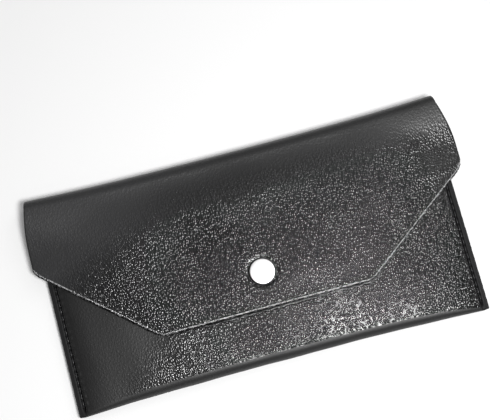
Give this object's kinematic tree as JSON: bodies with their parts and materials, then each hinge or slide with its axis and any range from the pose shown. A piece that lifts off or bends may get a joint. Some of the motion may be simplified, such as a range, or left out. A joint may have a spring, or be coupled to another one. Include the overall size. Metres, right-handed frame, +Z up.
{
  "type": "envelope wallet",
  "caption": "Envelope wallet folded from one pebble-grained faux-leather sheet, with sewn sides, an open pocket and a flap closed by a snap.",
  "frame": {"origin": "under the middle of the wallet, on the table that its back panel lies on", "axes": "+X along the wallet, +Y from the bottom fold to the top fold, +Z up out of the front with the flap"},
  "size_m": [0.2014, 0.1016, 0.0159],
  "materials": {
    "grained_leather": "pebble grain, semi-gloss black",
    "polished_nickel": "polished",
    "plain_nickel": "satin",
    "seam_thread": "waxed black thread"
  },
  "bodies": {
    "pouch": {"leather_pouch": "grained_leather", "flap_fold": "grained_leather", "snap_stud": "plain_nickel", "snap_post": "plain_nickel", "left_needle_thread": "seam_thread", "left_bobbin_thread": "seam_thread", "right_needle_thread": "seam_thread", "right_bobbin_thread": "seam_thread"},
    "flap": {"leather_flap": "grained_leather", "snap_cap": "polished_nickel", "snap_socket": "plain_nickel"}
  },
  "joints": [
    {"name": "flap_hinge", "type": "hinge", "parent": "pouch", "child": "flap", "pos_m": [0, 0.0495, 0.0052], "axis": [-1, 0, 0], "range_deg": [0, 160], "deforming": ["flap_fold"]}
  ]
}
